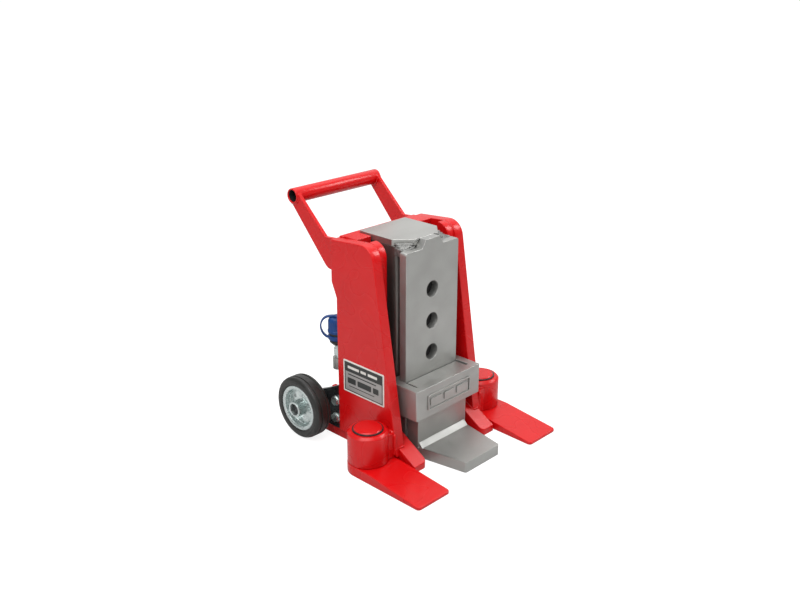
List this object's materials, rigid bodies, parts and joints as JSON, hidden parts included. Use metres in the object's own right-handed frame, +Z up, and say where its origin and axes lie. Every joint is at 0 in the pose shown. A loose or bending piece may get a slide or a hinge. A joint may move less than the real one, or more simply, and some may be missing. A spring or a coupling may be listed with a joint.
{
  "type": "hydraulic toe jack",
  "caption": "Low-clearance hydraulic lifting jack with an adjustable toe on a perforated rail, swivel feet, a carry handle and transport wheels.",
  "frame": {"origin": "on the ground, on the axis of the hydraulic cylinder, at the underside of the base plate", "axes": "+Z up along the lift; -Y to the front, where the toe points; +X to the operator's right when seen from behind the toe"},
  "size_m": [0.328, 0.3532, 0.3943],
  "materials": {
    "red_paint": "gloss",
    "black_paint": "semi-gloss",
    "cast_grey": "fine blasted",
    "machined_steel": "machined",
    "zinc_plate": "bright zinc",
    "dark_steel": "phosphated",
    "hard_chrome": "polished",
    "tyre_rubber": "satin",
    "seal_rubber": "satin",
    "bush_plastic": "matte",
    "cap_plastic": "moulded",
    "label_metal": "satin"
  },
  "bodies": {
    "frame": {"base_plate": "red_paint", "base_arm_left": "red_paint", "base_arm_right": "red_paint", "side_plate_left": "red_paint", "side_plate_right": "red_paint", "guide_strips_front": "red_paint", "guide_strips_rear": "red_paint", "back_plate": "red_paint", "handle_tube": "red_paint", "handle_arm_left": "red_paint", "handle_arm_right": "red_paint", "foot_hub_left": "red_paint", "foot_hub_right": "red_paint", "wheel_lugs": "red_paint", "wheel_bracket_left": "black_paint", "wheel_bracket_right": "black_paint", "cylinder_barrel": "cast_grey", "cylinder_foot": "cast_grey", "port_elbow": "cast_grey", "gland_nut": "machined_steel", "axle_nuts": "zinc_plate", "bracket_bolts": "zinc_plate", "coupler_adapter": "zinc_plate", "oil_pipe": "zinc_plate", "pipe_nuts": "zinc_plate", "passage_plug": "zinc_plate", "wheel_axle_left": "dark_steel", "wheel_axle_right": "dark_steel", "axle_circlips": "dark_steel", "coupler_body": "dark_steel", "return_spring": "dark_steel", "rod_seal": "seal_rubber", "cap_strap": "cap_plastic", "label_plate": "label_metal"},
    "carriage": {"carriage_body": "cast_grey", "head_plate": "machined_steel", "rail_plate": "cast_grey", "rail_web": "cast_grey", "rail_stops": "cast_grey", "guide_bar_left": "cast_grey", "guide_bar_right": "cast_grey", "piston_rod": "hard_chrome", "piston": "cast_grey", "piston_seal": "seal_rubber"},
    "toe": {"toe_plate": "cast_grey", "toe_collar": "cast_grey"},
    "lock_pin": {"lock_pin": "machined_steel"},
    "foot_left": {"swivel_foot_left": "red_paint", "foot_pin_left": "red_paint", "retaining_ring_left": "dark_steel"},
    "foot_right": {"swivel_foot_right": "red_paint", "foot_pin_right": "red_paint", "retaining_ring_right": "dark_steel"},
    "wheel_left": {"wheel_tyre_left": "tyre_rubber", "wheel_rim_left": "zinc_plate", "wheel_bush_left": "bush_plastic"},
    "wheel_right": {"wheel_tyre_right": "tyre_rubber", "wheel_rim_right": "zinc_plate", "wheel_bush_right": "bush_plastic"},
    "dust_cap": {"dust_cap": "cap_plastic"}
  },
  "joints": [
    {"name": "carriage_lift", "type": "slide", "parent": "frame", "child": "carriage", "axis": [0, 0, 1], "range_m": [0, 0.14], "deforming": ["return_spring"]},
    {"name": "toe_height", "type": "slide", "parent": "carriage", "child": "toe", "axis": [0, 0, 1], "range_m": [0, 0.156]},
    {"name": "toe_lock", "type": "slide", "parent": "toe", "child": "lock_pin", "axis": [0, 1, 0], "range_m": [0, 0.012]},
    {"name": "foot_left_swivel", "type": "hinge", "parent": "frame", "child": "foot_left", "pos_m": [-0.1315, -0.0591, 0.04], "axis": [0, 0, 1], "range_deg": [-100, 0]},
    {"name": "foot_right_swivel", "type": "hinge", "parent": "frame", "child": "foot_right", "pos_m": [0.1315, -0.0591, 0.04], "axis": [0, 0, 1], "range_deg": [0, 100]},
    {"name": "wheel_left_spin", "type": "hinge", "parent": "frame", "child": "wheel_left", "pos_m": [-0.129, 0.0915, 0.0525], "axis": [1, 0, 0], "continuous": true},
    {"name": "wheel_right_spin", "type": "hinge", "parent": "frame", "child": "wheel_right", "pos_m": [0.129, 0.0915, 0.0525], "axis": [1, 0, 0], "continuous": true},
    {"name": "dust_cap_lift", "type": "slide", "parent": "frame", "child": "dust_cap", "axis": [0, 0, 1], "range_m": [0, 0.03], "deforming": ["cap_strap"]}
  ]
}
